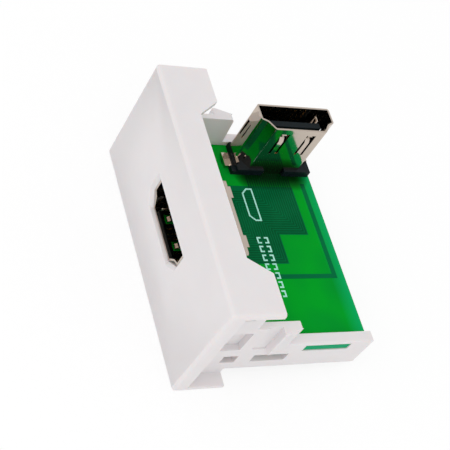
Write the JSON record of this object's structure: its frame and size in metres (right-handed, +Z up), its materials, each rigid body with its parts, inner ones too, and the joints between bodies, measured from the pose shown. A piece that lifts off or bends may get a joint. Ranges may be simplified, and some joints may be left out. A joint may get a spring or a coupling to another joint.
{
  "type": "digital video panel coupler",
  "caption": "White snap-in wall-plate module: a digital video socket in its face, joined by a circuit board held between slotted arms to an upright socket behind.",
  "frame": {"origin": "centre of the front port in the plane of the front face", "axes": "+X along the long side of the face, away from the upright socket; +Y from the front face backwards; +Z up, from the board's bare side to its socket side"},
  "size_m": [0.05, 0.0363, 0.025],
  "materials": {
    "white_abs": "fine satin moulded ABS",
    "green_laminate": "glossy solder resist on glass-epoxy laminate",
    "nickel_sheet": "bright nickel-plated sheet",
    "black_moulding": "black moulded nylon",
    "gilt_contact": "gold-flashed phosphor bronze",
    "solder": "bright tin solder"
  },
  "bodies": {
    "root": {"housing": "white_abs", "circuit_board": "green_laminate", "front_socket_shell": "nickel_sheet", "rear_socket_shell": "nickel_sheet", "front_socket_insulator": "black_moulding", "rear_socket_insulator": "black_moulding", "front_contact_01": "gilt_contact", "front_contact_02": "gilt_contact", "front_contact_03": "gilt_contact", "front_contact_04": "gilt_contact", "front_contact_05": "gilt_contact", "front_contact_06": "gilt_contact", "front_contact_07": "gilt_contact", "front_contact_08": "gilt_contact", "front_contact_09": "gilt_contact", "front_contact_10": "gilt_contact", "front_contact_11": "gilt_contact", "front_contact_12": "gilt_contact", "front_contact_13": "gilt_contact", "front_contact_14": "gilt_contact", "front_contact_15": "gilt_contact", "front_contact_16": "gilt_contact", "front_contact_17": "gilt_contact", "front_contact_18": "gilt_contact", "front_contact_19": "gilt_contact", "rear_contact_01": "gilt_contact", "rear_contact_02": "gilt_contact", "rear_contact_03": "gilt_contact", "rear_contact_04": "gilt_contact", "rear_contact_05": "gilt_contact", "rear_contact_06": "gilt_contact", "rear_contact_07": "gilt_contact", "rear_contact_08": "gilt_contact", "rear_contact_09": "gilt_contact", "rear_contact_10": "gilt_contact", "rear_contact_11": "gilt_contact", "rear_contact_12": "gilt_contact", "rear_contact_13": "gilt_contact", "rear_contact_14": "gilt_contact", "rear_contact_15": "gilt_contact", "rear_contact_16": "gilt_contact", "rear_contact_17": "gilt_contact", "rear_contact_18": "gilt_contact", "rear_contact_19": "gilt_contact", "front_shell_solder": "solder", "rear_shell_solder": "solder", "rear_contact_solder": "solder", "front_contact_solder": "solder"}
  },
  "joints": []
}
